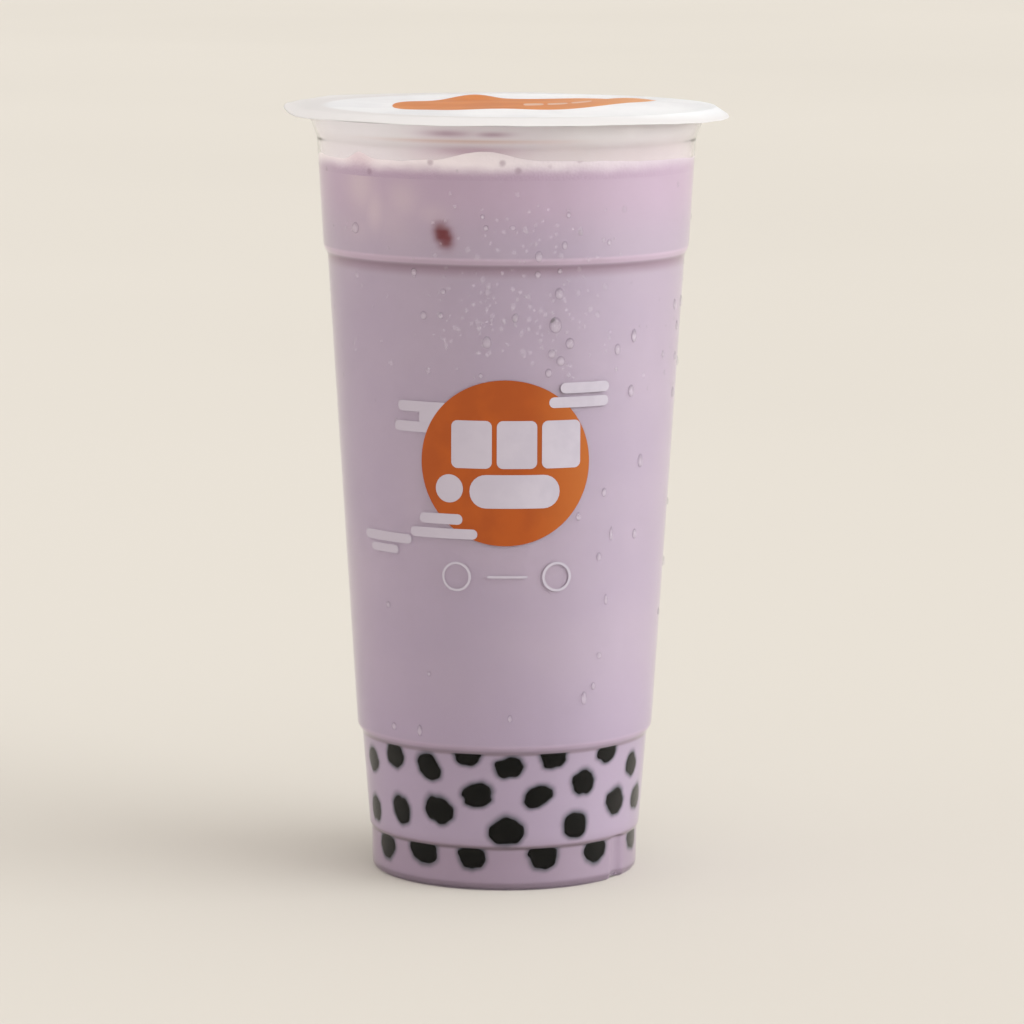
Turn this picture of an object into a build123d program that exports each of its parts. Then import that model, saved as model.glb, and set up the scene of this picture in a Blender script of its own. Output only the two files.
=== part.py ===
from build123d import *

import math
import os

# Taro bubble tea in a sealed takeaway cup, in millimetres.
#
# The cup is a tall injection-moulded clear plastic tumbler: a low foot band with two
# stacking flutes, a narrow lower band, a long main band and an upper band, each a little
# wider than the one below it, then a flared neck and a flat flange. Purple milk tea fills
# it almost to the neck, with a layer of milk foam on top. A printed plastic film is welded
# to the flange, and its free margin stands out past the rim in shallow waves.
#
# Frame: +Z up, origin on the cup's axis at the surface it stands on, print facing -Y.

# ---------------------------------------------------------------- driving sizes
CUP_HEIGHT = 176.0  # surface to the top of the flange
FOOT_RADIUS = 30.65  # outside of the foot band at its lower edge
WALL = 0.7

FOOT_HEIGHT = 9.8  # from the surface to the first step
FOOT_DRAFT = 0.015  # gain in radius for each mm of height
FOOT_ROUND = 1.1  # rounded lower edge of the foot band
RING_WIDTH = 1.6  # flat ring that the cup stands on
PUNT = 1.6  # how far the base panel is raised inside that ring
FLOOR = 0.8

LOWER_HEIGHT = 21.6
LOWER_DRAFT = 0.078
MAIN_DRAFT = 0.062
UPPER_HEIGHT = 24.4
UPPER_DRAFT = 0.057

FOOT_STEP = (0.45, 0.5)  # out, up
LOWER_STEP = (1.15, 1.8)
MAIN_STEP = (0.95, 2.0)
STEP_ROUND = 0.5  # rounding of each step's two corners

NECK_HEIGHT = 6.2
NECK_FLARE = 2.3
FLANGE_WIDTH = 2.1  # from the top of the neck to the rim
FLANGE = 1.0
LIP_DROP = 0.8  # the rim's rolled edge, below the flange

FLUTE_ANGLE = -33.0  # direction of the first flute, from +X
FLUTES = 2
FLUTE_RADIUS = 4.0
FLUTE_DEPTH = 0.9

FILL_BELOW_RIM = 11.2  # foam's level, under the top of the flange
FOAM = 2.6
FOAM_CLIMB = 1.4  # how far the foam clings up the wall
FOAM_CLIMB_WIDTH = 5.0
MOUND_RISE = 3.8  # lump of foam against the front wall, above the level
MOUND_RADIUS = 13.0
MOUND_ANGLE = -97.0  # direction of the lump, from +X

FILM = 0.2
FILM_DOME = 1.0  # rise of the film over the mouth
FILM_MARGIN = 3.0  # free film past the rim
FILM_DROOP = 0.75  # mean drop of the free edge
FILM_WAVE = 0.45  # height of the waves in it
FILM_WAVES = 14
WAVE_SWING = 0.3  # unevenness of neighbouring waves
FACETS_PER_WAVE = 6

# --------------------------------------------------- heights and radii that follow
foot_top = FOOT_HEIGHT
lower_bottom = foot_top + FOOT_STEP[1]
lower_top = lower_bottom + LOWER_HEIGHT
main_bottom = lower_top + LOWER_STEP[1]
neck_top = CUP_HEIGHT - FLANGE
neck_bottom = neck_top - NECK_HEIGHT
upper_bottom = neck_bottom - UPPER_HEIGHT
main_top = upper_bottom - MAIN_STEP[1]

foot_top_r = FOOT_RADIUS + FOOT_DRAFT * FOOT_HEIGHT
lower_bottom_r = foot_top_r + FOOT_STEP[0]
lower_top_r = lower_bottom_r + LOWER_DRAFT * LOWER_HEIGHT
main_bottom_r = lower_top_r + LOWER_STEP[0]
main_top_r = main_bottom_r + MAIN_DRAFT * (main_top - main_bottom)
upper_bottom_r = main_top_r + MAIN_STEP[0]
upper_top_r = upper_bottom_r + UPPER_DRAFT * UPPER_HEIGHT
neck_r = upper_top_r + NECK_FLARE
rim_r = neck_r + FLANGE_WIDTH

ring_outer_r = FOOT_RADIUS - FOOT_ROUND
ring_inner_r = ring_outer_r - RING_WIDTH
panel_r = ring_inner_r - PUNT
floor_top = PUNT + FLOOR
fill_level = CUP_HEIGHT - FILL_BELOW_RIM
foam_bottom = fill_level - FOAM

# The wall's bands from the foot to the neck, as (radius, height) of the outside.
wall_line = [
    (foot_top_r, foot_top),
    (lower_bottom_r, lower_bottom),
    (lower_top_r, lower_top),
    (main_bottom_r, main_bottom),
    (main_top_r, main_top),
    (upper_bottom_r, upper_bottom),
    (upper_top_r, neck_bottom),
]


def revolved(outline, rounds):
    """A solid turned about Z from (radius, height) points. rounds maps a point to its radius."""
    face = make_face(Polyline(*outline, close=True))
    for point, radius in rounds.items():
        corner = face.vertices().sort_by_distance(Vector(*point))[0]
        face = fillet(corner, radius)
    return revolve(Rot(90, 0, 0) * face, Axis.Z, 360)


def step_rounds(inset):
    """The rounding of every step's corners, for a line that lies inset inside the wall's outside."""
    return {(r - inset, z): STEP_ROUND for r, z in wall_line}


def outer_body():
    """The cup's outside as a full solid, up to the flange's top."""
    outline = [
        (0, PUNT),
        (panel_r, PUNT),
        (ring_inner_r, 0),
        (ring_outer_r, 0),
        (FOOT_RADIUS, FOOT_ROUND),
        *wall_line,
        (neck_r, neck_top),
        (rim_r - WALL, neck_top),
        (rim_r - WALL, neck_top - LIP_DROP),
        (rim_r, neck_top - LIP_DROP),
        (rim_r, CUP_HEIGHT),
        (0, CUP_HEIGHT),
    ]
    rounds = step_rounds(0)
    rounds[(FOOT_RADIUS, FOOT_ROUND)] = FOOT_ROUND / 2
    rounds[(neck_r, neck_top)] = STEP_ROUND
    rounds[(rim_r, CUP_HEIGHT)] = FLANGE / 2
    return revolved(outline, rounds)


def upright_cylinder(radius, height):
    """A cylinder about Z that stands on the origin."""
    return Cylinder(radius, height, align=(Align.CENTER, Align.CENTER, Align.MIN))


def inner_space(top):
    """The space inside the wall, from the floor and the moat round it up to the height top."""
    inside = [(r - WALL, z) for r, z in wall_line]
    outline = [
        (0, floor_top),
        (panel_r, floor_top),
        (ring_inner_r, FLOOR),
        (ring_outer_r - WALL, FLOOR),
        (FOOT_RADIUS - WALL, FLOOR + FOOT_ROUND),
        *inside,
        (neck_r - WALL, neck_top),
        (neck_r - WALL, CUP_HEIGHT + FLANGE),
        (0, CUP_HEIGHT + FLANGE),
    ]
    space = revolved(outline, step_rounds(WALL))
    ceiling = Pos(0, 0, top) * upright_cylinder(2 * rim_r, CUP_HEIGHT)
    return space - ceiling


def flutes(extra):
    """Upright grooves across the foot band, wider by extra all round."""
    reach = FLUTE_RADIUS + extra
    cutters = []
    for i in range(FLUTES):
        angle = math.radians(FLUTE_ANGLE + 360 / FLUTES * i)
        centre = FOOT_RADIUS - FLUTE_DEPTH + FLUTE_RADIUS
        post = upright_cylinder(reach, foot_top + extra)
        cutters.append(Pos(centre * math.cos(angle), centre * math.sin(angle), 0) * post)
    return cutters


def make_cup():
    """The moulded cup: its outside less the flutes, less the inside, which keeps the wall round them."""
    space = inner_space(CUP_HEIGHT + FLANGE)
    body = outer_body()
    for groove, sleeve in zip(flutes(0), flutes(WALL)):
        body -= groove
        space -= sleeve
    return body - space


def make_contents():
    """The milk tea and the foam that floats on it. The foam clings to the wall and lumps up in front."""
    tea = inner_space(foam_bottom)
    for sleeve in flutes(WALL):
        tea -= sleeve
    crest = fill_level + FOAM_CLIMB
    wall_r = upper_top_r
    hollow = make_face(
        Polyline(
            (0, fill_level),
            (wall_r - FOAM_CLIMB_WIDTH, fill_level),
            (wall_r, crest),
            (rim_r, crest),
            (rim_r, CUP_HEIGHT),
            (0, CUP_HEIGHT),
            close=True,
        )
    )
    bend = hollow.vertices().sort_by_distance(Vector(wall_r - FOAM_CLIMB_WIDTH, fill_level))[0]
    hollow = revolve(Rot(90, 0, 0) * fillet(bend, FOAM_CLIMB_WIDTH), Axis.Z, 360)
    headspace = inner_space(neck_top) - inner_space(foam_bottom)
    foam = headspace - hollow

    angle = math.radians(MOUND_ANGLE)
    ball_r = (MOUND_RADIUS**2 + MOUND_RISE**2) / (2 * MOUND_RISE)
    ball_z = fill_level + MOUND_RISE - ball_r
    ball = Pos(wall_r * math.cos(angle), wall_r * math.sin(angle), ball_z) * Sphere(ball_r)
    foam += ball & headspace
    return tea, foam


def edge_height(angle):
    """Height of the film's free edge, under the flange's top, at an angle in radians."""
    swing = 1 + WAVE_SWING * math.sin(3 * angle + 0.8) + WAVE_SWING * math.cos(2 * angle)
    return -FILM_DROOP + FILM_WAVE * swing * math.sin(FILM_WAVES * angle)


def make_film():
    """The welded film: a shallow dome on the flange and a waved margin past the rim."""
    mouth = neck_r - WALL
    rise = FILM_DOME
    dome_r = (mouth**2 + rise**2) / (2 * rise)
    layers = []
    for lift in (0, FILM):
        z = CUP_HEIGHT + lift
        body = upright_cylinder(rim_r, z)
        ball = Pos(0, 0, z + rise - dome_r) * Sphere(dome_r)
        above = Pos(0, 0, z) * upright_cylinder(rim_r, 2 * rise)
        layers.append(body + (ball & above))
    dome = layers[1] - layers[0]

    steps = FACETS_PER_WAVE * FILM_WAVES
    far_r = rim_r + FILM_MARGIN
    edges = []
    for lift in (0, FILM):
        z = CUP_HEIGHT + lift
        near = [Vector(rim_r * math.cos(a), rim_r * math.sin(a), z) for a in turn(steps)]
        far = [Vector(far_r * math.cos(a), far_r * math.sin(a), z + edge_height(a)) for a in turn(steps)]
        edges.append((near, far))
    faces = []
    for i in range(steps):
        j = (i + 1) % steps
        (near_low, far_low), (near_high, far_high) = edges
        ring = [
            (near_low, far_low),
            (far_low, far_high),
            (far_high, near_high),
            (near_high, near_low),
        ]
        for one, other in ring:
            faces.append(triangle(one[i], other[i], other[j]))
            faces.append(triangle(one[i], other[j], one[j]))
    return dome, Solid(Shell(faces))


def turn(steps):
    """Equal angles round a full turn."""
    return [2 * math.pi * i / steps for i in range(steps)]


def triangle(a, b, c):
    return Face(Wire(Polyline(a, b, c, close=True).edges()))


def write_parts():
    os.makedirs("parts", exist_ok=True)
    tea, foam = make_contents()
    dome, margin = make_film()
    parts = {
        "cup": make_cup(),
        "taro_milk_tea": tea,
        "milk_foam": foam,
        "seal_film": dome + margin,
    }
    for name, part in parts.items():
        export_step(part, f"parts/{name}.step")


write_parts()
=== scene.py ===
import math
import random

import bpy
import numpy as np
from mathutils import Matrix, Vector, noise


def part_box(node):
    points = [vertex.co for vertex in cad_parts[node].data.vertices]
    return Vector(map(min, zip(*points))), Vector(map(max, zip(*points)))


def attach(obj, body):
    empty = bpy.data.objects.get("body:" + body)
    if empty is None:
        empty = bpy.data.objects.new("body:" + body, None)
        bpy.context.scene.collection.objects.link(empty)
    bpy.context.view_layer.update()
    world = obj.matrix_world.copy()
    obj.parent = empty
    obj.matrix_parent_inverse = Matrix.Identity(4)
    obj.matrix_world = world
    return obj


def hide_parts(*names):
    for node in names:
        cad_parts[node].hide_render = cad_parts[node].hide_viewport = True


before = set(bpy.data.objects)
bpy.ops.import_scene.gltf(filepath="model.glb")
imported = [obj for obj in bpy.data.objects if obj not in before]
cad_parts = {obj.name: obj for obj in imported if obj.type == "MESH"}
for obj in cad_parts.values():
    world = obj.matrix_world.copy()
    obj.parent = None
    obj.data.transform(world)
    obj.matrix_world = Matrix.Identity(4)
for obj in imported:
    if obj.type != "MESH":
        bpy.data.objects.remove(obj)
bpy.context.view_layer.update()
scene = bpy.context.scene

# -------------------- camera
# A long lens a metre from the cup, at a height a little above the film and tipped down, so
# that the cup's sides hardly converge. It leans by a fifth of a degree.
camera_distance = 1.0758
camera_height = 0.240
camera_aside = 0.0010
camera_tip = 8.33
camera_lean = -0.2

camera_data = bpy.data.cameras.new("camera")
camera_data.lens = 165.8
camera_data.sensor_width = 36
camera = bpy.data.objects.new("camera", camera_data)
camera.location = (camera_aside, -camera_distance, camera_height)
camera.rotation_euler = (math.radians(90 - camera_tip), math.radians(camera_lean), 0)
scene.collection.objects.link(camera)
scene.camera = camera
scene.view_settings.view_transform = "Standard"

# -------------------- studio
# A pale room: warm even light from all round, a broad low window light from the right, a soft
# one from above that throws the faint shadow, and a weak fill from the left that throws none
# and isn't mirrored.
room_light = 0.80
room_colour = (1.0, 0.945, 0.88)

world = bpy.data.worlds.new("room")
world.use_nodes = True
background = world.node_tree.nodes["Background"].inputs
background["Color"].default_value = (*room_colour, 1)
background["Strength"].default_value = room_light
scene.world = world


def hang_light(name, bearing, elevation, spread, strength, colour):
    """A broad distant light. Its bearing is from the front to the right, and spread is its width."""
    light_data = bpy.data.lights.new(name, "SUN")
    light_data.angle = math.radians(spread)
    light_data.energy = strength
    light_data.color = colour
    light = bpy.data.objects.new(name, light_data)
    turn, lift = math.radians(bearing), math.radians(elevation)
    away = Vector((math.sin(turn) * math.cos(lift), -math.cos(turn) * math.cos(lift), math.sin(lift)))
    light.location = away
    light.rotation_euler = away.to_track_quat("Z", "Y").to_euler()
    scene.collection.objects.link(light)
    return light


hang_light("window", 72, 18, 56, 1.95, (0.97, 1.0, 1.0))
hang_light("overhead", 66, 55, 80, 0.75, (0.98, 0.99, 1.0))
fill = hang_light("fill", -74, 24, 50, 1.05, (1.0, 0.985, 0.975))
fill.data.use_shadow = False
fill.visible_glossy = False

# -------------------- table
# The cup stands on a wide pale table top, matt and very faintly clouded, which takes its soft
# shadow. The table isn't part of the object.
TURN = 2 * math.pi
table_radius = 14.0


def node(tree, kind, inputs=None, **settings):
    """A new node in tree. inputs gives a socket a value, or another node's output to follow."""
    made = tree.nodes.new(kind)
    for key, value in settings.items():
        setattr(made, key, value)
    for key, value in (inputs or {}).items():
        if isinstance(value, bpy.types.NodeSocket):
            tree.links.new(value, made.inputs[key])
        else:
            made.inputs[key].default_value = value
    return made


def place_in(tree):
    """The place on the object, in metres."""
    return node(tree, "ShaderNodeTexCoord").outputs["Object"]


def along(tree, axis, place):
    """One of a place's three parts: X to the right, Y to the back, Z up."""
    return node(tree, "ShaderNodeSeparateXYZ", {0: place}).outputs[axis]


def maths(tree, operation, first, second=0.0):
    """One sum on values that change over the surface."""
    return node(tree, "ShaderNodeMath", {0: first, 1: second}, operation=operation).outputs[0]


def ramp(tree, value, start, end, low=0.0, high=1.0, kind="LINEAR"):
    """Goes from low to high while value goes from start to end."""
    inputs = {"Value": value, "From Min": start, "From Max": end, "To Min": low, "To Max": high}
    return node(tree, "ShaderNodeMapRange", inputs, interpolation_type=kind).outputs["Result"]


def srgb(red, green, blue):
    """A colour given as 0 to 255 on screen, as Blender's linear RGBA."""
    linear = [((c / 255 + 0.055) / 1.055) ** 2.4 for c in (red, green, blue)]
    return (*linear, 1)


def mixed(tree, factor, first, second):
    """The colour between first and second, by factor."""
    return node(tree, "ShaderNodeMix", {0: factor, 6: first, 7: second}, data_type="RGBA").outputs[2]


def new_group(name, inputs):
    """An empty shader group with named inputs and one output, Value: its tree and their sockets."""
    tree = bpy.data.node_groups.new(name, "ShaderNodeTree")
    for label, value in inputs.items():
        socket = tree.interface.new_socket(label, in_out="INPUT", socket_type="NodeSocketFloat")
        socket.default_value = value
    tree.interface.new_socket("Value", in_out="OUTPUT", socket_type="NodeSocketFloat")
    given = tree.nodes.new("NodeGroupInput").outputs
    return tree, given, tree.nodes.new("NodeGroupOutput").inputs["Value"]


def grouped(tree, group, **values):
    """A group placed in tree with its own values: its one output."""
    return node(tree, "ShaderNodeGroup", values, node_tree=group).outputs["Value"]


def soft_noise(tree, place, scale, detail):
    """Smooth noise of 0 to 1 in space."""
    inputs = {"Vector": place, "Scale": scale, "Detail": detail}
    return node(tree, "ShaderNodeTexNoise", inputs).outputs["Fac"]


# Soft patches of 0 to 1 over a surface, for milk, foam, film and table alike.
clouds, given, out = new_group("clouds", {"Scale": 10.0, "Low": 0.35, "High": 0.65})
puffs = soft_noise(clouds, place_in(clouds), given["Scale"], 3.0)
clouds.links.new(ramp(clouds, puffs, given["Low"], given["High"], kind="SMOOTHSTEP"), out)


def clouded(tree, scale, first, second, **limits):
    """Two colours mingled in soft patches by the clouds group."""
    return mixed(tree, grouped(tree, clouds, Scale=scale, **limits), first, second)


def new_material(name, **values):
    """A material with a Principled shader set to values, and its tree and shader."""
    material = bpy.data.materials.new(name)
    material.use_nodes = True
    shader = material.node_tree.nodes["Principled BSDF"]
    for key, value in values.items():
        shader.inputs[key.replace("_", " ")].default_value = value
    return material, material.node_tree, shader


def new_mesh(name, verts, faces):
    """A smooth-shaded mesh of points and faces."""
    mesh = bpy.data.meshes.new(name)
    mesh.from_pydata(verts, [], faces)
    mesh.shade_smooth()
    return mesh


def lathe(name, line, segments, press=None):
    """A mesh turned about Z from (radius, height) points, whose radius press may change at an angle."""
    verts, faces, rings = [], [], []
    for radius, height in line:
        count = segments if radius > 0 else 1
        rings.append((len(verts), count))
        for i in range(count):
            angle = TURN * i / segments
            reach = press(angle, radius, height) if press else radius
            verts.append((reach * math.cos(angle), reach * math.sin(angle), height))
    for (low, low_count), (high, high_count) in zip(rings, rings[1:]):
        for i in range(segments):
            j = (i + 1) % segments
            below = low + i % low_count, low + j % low_count
            above = high + j % high_count, high + i % high_count
            faces.append(list(dict.fromkeys(below + above)))
    return new_mesh(name, verts, faces)


def colour_with(tree, shader, tint):
    """Gives a shader a colour that changes over the surface."""
    tree.links.new(tint, shader.inputs["Base Color"])


table_material, tree, shader = new_material("pale_table", Roughness=0.8, Specular_IOR_Level=0.05)
colour_with(tree, shader, clouded(tree, 0.8, srgb(207, 203, 196), srgb(205, 201, 194)))
table_mesh = lathe("table", [(table_radius, 0), (0, 0)], 96)
table = bpy.data.objects.new("table", table_mesh)
table.data.materials.append(table_material)
scene.collection.objects.link(table)

# -------------------- cup
# The cup is one thin moulding of clear polypropylene. Its bands step outwards on the way up,
# so that empty cups nest, and the flat flange at the top is what the film is welded to.
cup_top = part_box("cup")[1][2]
rim_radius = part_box("cup")[1][0]
wall = 0.0007
foot_radius, foot_round = 0.03065, 0.0011
ring_width, punt, floor_thickness = 0.0016, 0.0016, 0.0008
flange, flange_width, lip_drop = 0.0010, 0.0021, 0.0008
step_round = 0.0005
cup_segments = 360

# Each band from the foot up: its height, gain in radius per metre, and the step above, out and up.
bands = [
    (0.0098, 0.015, 0.00045, 0.0005),
    (0.0216, 0.078, 0.00115, 0.0018),
    (0.1087, 0.062, 0.00095, 0.0020),
    (0.0244, 0.057, 0.0, 0.0),
]
wall_corners = []
radius, height = foot_radius, 0.0
for band_height, draft, step_out, step_up in bands:
    radius, height = radius + draft * band_height, height + band_height
    wall_corners.append((radius, height))
    if step_up:
        radius, height = radius + step_out, height + step_up
        wall_corners.append((radius, height))
foot_height = wall_corners[0][1]
neck_radius = rim_radius - flange_width
neck_top = cup_top - flange

flute_bearing = -33.0
flute_radius, flute_depth = 0.0040, 0.0009


def rounded(points, reach, steps=5):
    """The line through points, with each corner swept round from reach before it to reach after it."""
    line = [points[0]]
    for before, corner, after in zip(points, points[1:], points[2:]):
        corner = Vector(corner)
        start = Vector(before) - corner
        end = Vector(after) - corner
        start = corner + start.normalized() * min(reach, start.length * 0.45)
        end = corner + end.normalized() * min(reach, end.length * 0.45)
        for i in range(steps + 1):
            t = i / steps
            line.append(tuple(start.lerp(corner, t).lerp(corner.lerp(end, t), t)))
    return line + [points[-1]]


def flute_press(angle, radius, height):
    """The foot band's radius with its two flutes, which fade out under the first step."""
    if radius < foot_radius - 2 * wall or height > foot_height + wall:
        return radius
    offset = (angle - math.radians(flute_bearing)) % math.pi
    offset = min(offset, math.pi - offset) * foot_radius
    if offset > flute_radius:
        return radius
    depth = flute_depth - (flute_radius - math.sqrt(flute_radius**2 - offset**2))
    fade = min(1, max(0, (foot_height + wall - height) / wall))
    return radius - max(depth, 0) * fade


ring_outer = foot_radius - foot_round
ring_inner = ring_outer - ring_width
panel_radius = ring_inner - punt
edge_cut = 0.0003
outside = [
    (0, punt),
    (panel_radius, punt),
    (ring_inner, 0),
    (ring_outer, 0),
    (foot_radius - edge_cut, edge_cut),
    (foot_radius, foot_round),
    *wall_corners,
    (neck_radius, neck_top),
    (rim_radius - wall, neck_top),
    (rim_radius - wall, neck_top - lip_drop),
    (rim_radius, neck_top - lip_drop),
    (rim_radius, cup_top),
]
floor_top = punt + floor_thickness


def inner_line(gap):
    """The inside's line from the middle of the floor to the neck, gap inside the outer wall."""
    under = floor_thickness - (wall - gap)
    return [
        (0, under + punt),
        (panel_radius, under + punt),
        (ring_inner, under),
        (ring_outer - gap, under),
        (foot_radius - gap, under + foot_round),
        *[(radius - gap, height) for radius, height in wall_corners],
        (neck_radius - gap, neck_top),
    ]


inside = inner_line(wall) + [(neck_radius - wall, cup_top)]
cup_line = rounded(outside + inside[::-1], step_round)
cup_mesh = lathe("cup", cup_line, cup_segments, flute_press)

# Milk that has run back down leaves the wall over the foam a little lilac.
residue = (0.1640, 0.1660)
cup_material, tree, shader = new_material(
    "clear_polypropylene",
    Roughness=0.035,
    Transmission_Weight=1.0,
    IOR=1.49,
    Specular_IOR_Level=0.12,
    Specular_Tint=(0.25, 0.25, 0.25, 1),
)
place = place_in(tree)


def raise_bumps(tree, shader, height, strength, distance):
    """Makes a surface look raised where height is greater."""
    bump = node(tree, "ShaderNodeBump", {"Height": height, "Strength": strength, "Distance": distance})
    tree.links.new(bump.outputs["Normal"], shader.inputs["Normal"])


raise_bumps(tree, shader, soft_noise(tree, place, 55.0, 1.0), 0.10, 0.0006)
above = ramp(tree, along(tree, "Z", place), *residue, kind="SMOOTHSTEP")
tint = mixed(tree, above, (0.985, 0.98, 0.98, 1), (0.97, 0.95, 0.96, 1))
colour_with(tree, shader, tint)

# Lamps shine straight through the cup, as its own shadow is hardly there.
in_shadow = node(tree, "ShaderNodeLightPath").outputs["Is Shadow Ray"]
clear = node(tree, "ShaderNodeBsdfTransparent")


def blend_shaders(tree, share, first, second):
    """Shows a share of the second shader over the first."""
    both = {0: share, 1: first.outputs["BSDF"], 2: second.outputs["BSDF"]}
    blend = node(tree, "ShaderNodeMixShader", both)
    tree.links.new(blend.outputs["Shader"], tree.nodes["Material Output"].inputs["Surface"])


blend_shaders(tree, in_shadow, shader, clear)


def add_piece(name, mesh, material, slot, *stands_for):
    """Puts a finished mesh on the object: its material, its body and what it stands for. slot is not used.
    """
    piece = bpy.data.objects.new(name, mesh)
    piece.data.materials.append(material)
    scene.collection.objects.link(piece)
    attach(piece, "root")
    if stands_for:
        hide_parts(*stands_for)


add_piece("clear_cup", cup_mesh, cup_material, "cup_plastic", "cup")

# -------------------- tapioca pearls
# Cooked tapioca pearls, soft and a little uneven, sunk to the bottom of the cup. Those next
# to the wall are pressed flat against it, which shows them as dark spots through the plastic.
pearl_radius = 0.0043
pearl_press = 0.70
spot_share = 0.82
pearl_poke = 0.00010
milk_bite = 0.00025

# The pearls that show in front: bearing, height, half width, half height, and tilt.
front_pearls = [
    (-68, 0.0270, 0.0031, 0.0030, 0),
    (-50, 0.0298, 0.0034, 0.0031, 75),
    (-32, 0.0284, 0.0036, 0.0031, -50),
    (-15, 0.0319, 0.0034, 0.0029, 0),
    (2, 0.0291, 0.0036, 0.0027, 14),
    (20, 0.0311, 0.0034, 0.0028, 8),
    (34, 0.0247, 0.0034, 0.0031, 45),
    (46, 0.0311, 0.0034, 0.0028, 25),
    (64, 0.0265, 0.0031, 0.0028, 80),
    (-69, 0.0154, 0.0034, 0.0029, 80),
    (-48, 0.0172, 0.0036, 0.0032, -70),
    (-28, 0.0185, 0.0039, 0.0035, -45),
    (-11, 0.0226, 0.0040, 0.0030, 16),
    (14, 0.0222, 0.0036, 0.0028, 22),
    (53, 0.0189, 0.0034, 0.0035, 70),
    (72, 0.0180, 0.0034, 0.0030, 0),
    (31, 0.0149, 0.0035, 0.0033, 38),
    (1, 0.0142, 0.0041, 0.0037, 0),
    (-61, 0.0073, 0.0035, 0.0034, 0),
    (-37, 0.0087, 0.0041, 0.0040, -20),
    (-14, 0.0080, 0.0034, 0.0034, -10),
    (17, 0.0080, 0.0039, 0.0033, 14),
    (43, 0.0082, 0.0037, 0.0034, 65),
    (73, 0.0082, 0.0034, 0.0031, 0),
]
back_row_heights = (0.0070, 0.0145, 0.0215, 0.0290)
back_row_gap = 22
back_half_width, back_half_height = 0.0036, 0.0030
lobe_counts = (2, 3, 4, 5, 7, 10)

dice = random.Random(7)


def radius_at(line, height):
    """Radius of a wall line at a height."""
    radii, heights = zip(*line)
    return float(np.interp(height, heights, radii))


milk_wall_line = inner_line(wall - milk_bite)[4:]


def milk_radius(height):
    """Radius of the milk's skin, which reaches just into the wall."""
    return radius_at(milk_wall_line, height)


def band_of(height):
    """The draft of the foot band or the lower band, whichever holds a height, and its top."""
    band = 0 if height < foot_height else 1
    return bands[band][1], wall_corners[2 * band][1]


def bearing_point(bearing, radius, height):
    """The point at a bearing in radians, measured from the front to the right."""
    return Vector((radius * math.sin(bearing), -radius * math.cos(bearing), height))


pearls = list(front_pearls)
for row, height in enumerate(back_row_heights):
    bearing = 96 + 7 * (row % 2)
    while bearing < 276:
        lift = dice.uniform(-1, 1) * 0.0015
        size = (back_half_width, back_half_height)
        pearls.append((bearing + dice.uniform(-4, 4), height + lift, *size, dice.uniform(-60, 60)))
        bearing += back_row_gap + dice.uniform(-2, 3)

pearl_shapes = []
for bearing, height, half_width, half_height, tilt in pearls:
    lobes = [(k, dice.uniform(0.02, 0.11) / k**0.75, dice.uniform(0, TURN)) for k in lobe_counts]
    sides = (half_width / spot_share, half_height / spot_share)
    pearl_shapes.append((math.radians(bearing), height, sides, math.radians(tilt), lobes))


def ways_at(bearing, tilt):
    """Three directions at a bearing: outwards, then the width and the height of a tilted spot."""
    out_way = bearing_point(bearing, 1, 0)
    level_way = Vector((-out_way.y, out_way.x, 0))
    side_way = level_way * math.cos(tilt) + Vector((0, 0, math.sin(tilt)))
    up_way = Vector((0, 0, math.cos(tilt))) - level_way * math.sin(tilt)
    return out_way, side_way, up_way


def lobe_factor(lobes, angle):
    """How far an uneven outline stands out at an angle, about 1."""
    return 1 + sum(amount * np.cos(k * angle + start) for k, amount, start in lobes)


def disc_faces(rings, count):
    """Faces of a sheet of points: a middle point first, and then rings of count points round it."""
    faces = []
    for i in range(count):
        j = (i + 1) % count
        faces.append((0, 1 + i, 1 + j))
        for low in range(1, 1 + (rings - 1) * count, count):
            faces.append((low + i, low + count + i, low + count + j, low + j))
    return faces


def closing_faces(last, count):
    """Faces from the last ring of a sheet to the closing point numbered last."""
    ring = last - count
    return [(last, ring + (i + 1) % count, ring + i) for i in range(count)]


def shifted(faces, first):
    """The faces with their points numbered on from first."""
    return [tuple(first + corner for corner in face) for face in faces]


# A unit ball as points of (out, across, up), and its faces.
ball_rings, ball_segments = 22, 40
ball_points = [(1.0, 0.0, 0.0)]
for ring in range(1, ball_rings):
    polar = math.pi * ring / ball_rings
    for i in range(ball_segments):
        turn = TURN * i / ball_segments
        out, across = math.cos(polar), math.sin(polar)
        ball_points.append((out, across * math.cos(turn), across * math.sin(turn)))
ball_points.append((-1.0, 0.0, 0.0))
ball_faces = disc_faces(ball_rings - 1, ball_segments)
ball_faces += closing_faces(len(ball_points) - 1, ball_segments)

verts, faces = [], []
for bearing, height, (half_width, half_height), tilt, lobes in pearl_shapes:
    faces += shifted(ball_faces, len(verts))
    centre = bearing_point(bearing, milk_radius(height) - pearl_radius * pearl_press, height)
    draft, _ = band_of(height)
    out_way, side_way, up_way = ways_at(bearing, tilt)
    for out_part, side_part, up_part in ball_points:
        across = math.hypot(side_part, up_part)
        factor = 1 + float(lobe_factor(lobes, math.atan2(up_part, side_part)) - 1) * across
        point = centre + out_way * out_part * pearl_radius * factor
        point += (side_way * side_part * half_width + up_way * up_part * half_height) * factor
        point.z = max(point.z, floor_top)
        reach = math.hypot(point.x, point.y)
        band_reach = milk_radius(height) + draft * (point.z - height)
        limit = min(milk_radius(point.z), band_reach) + pearl_poke
        if reach > limit:
            point.x *= limit / reach
            point.y *= limit / reach
        verts.append(point)
pearl_mesh = new_mesh("tapioca_pearls", verts, faces)

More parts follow.
